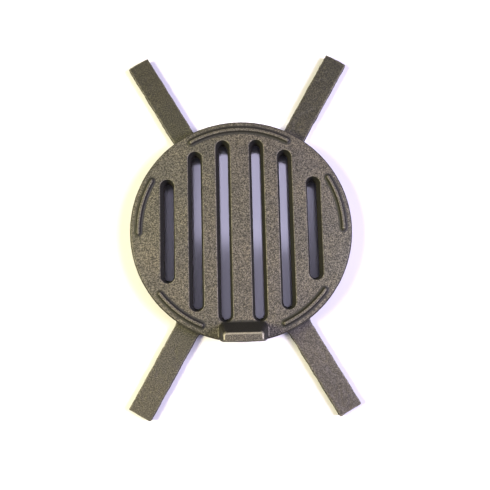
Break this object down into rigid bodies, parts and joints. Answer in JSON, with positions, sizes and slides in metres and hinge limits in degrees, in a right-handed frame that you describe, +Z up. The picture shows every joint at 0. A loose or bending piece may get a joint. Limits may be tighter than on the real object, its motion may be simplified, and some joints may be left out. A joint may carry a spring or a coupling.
{
  "type": "coal forge fire grate",
  "caption": "Round cast-iron riddling grate for a coal fire: a slotted disc with raised rim ribs and an upright push lug turns on a ring frame with radial arms.",
  "frame": {"origin": "on the disc's turning axis, in the plane that the arms rest on, which is the bottom centre of the bounding box", "axes": "+Z up along the turning axis, +Y along the slots away from the push lug, +X to the right when seen from the lug's side"},
  "size_m": [0.2088, 0.3385, 0.0543],
  "materials": {
    "grate_iron": "sand-cast, fine pebbled skin, dull warm grey",
    "frame_iron": "sand-cast, fine pebbled skin, dull warm grey",
    "pin_steel": "turned, dark oxide",
    "rivet_steel": "hot-set, scaled, filed flush"
  },
  "bodies": {
    "frame": {"carrier_ring": "frame_iron", "bridge_bar": "frame_iron", "arm_front_left": "frame_iron", "arm_front_right": "frame_iron", "arm_rear_left": "frame_iron", "arm_rear_right": "frame_iron", "arm_rivets": "rivet_steel", "bridge_rivets": "rivet_steel"},
    "grate": {"grate_disc": "grate_iron", "pivot_pin": "pin_steel"}
  },
  "joints": [
    {"name": "disc_turn", "type": "hinge", "parent": "frame", "child": "grate", "pos_m": [0, 0, 0.005], "axis": [0, 0, 1], "continuous": true}
  ]
}
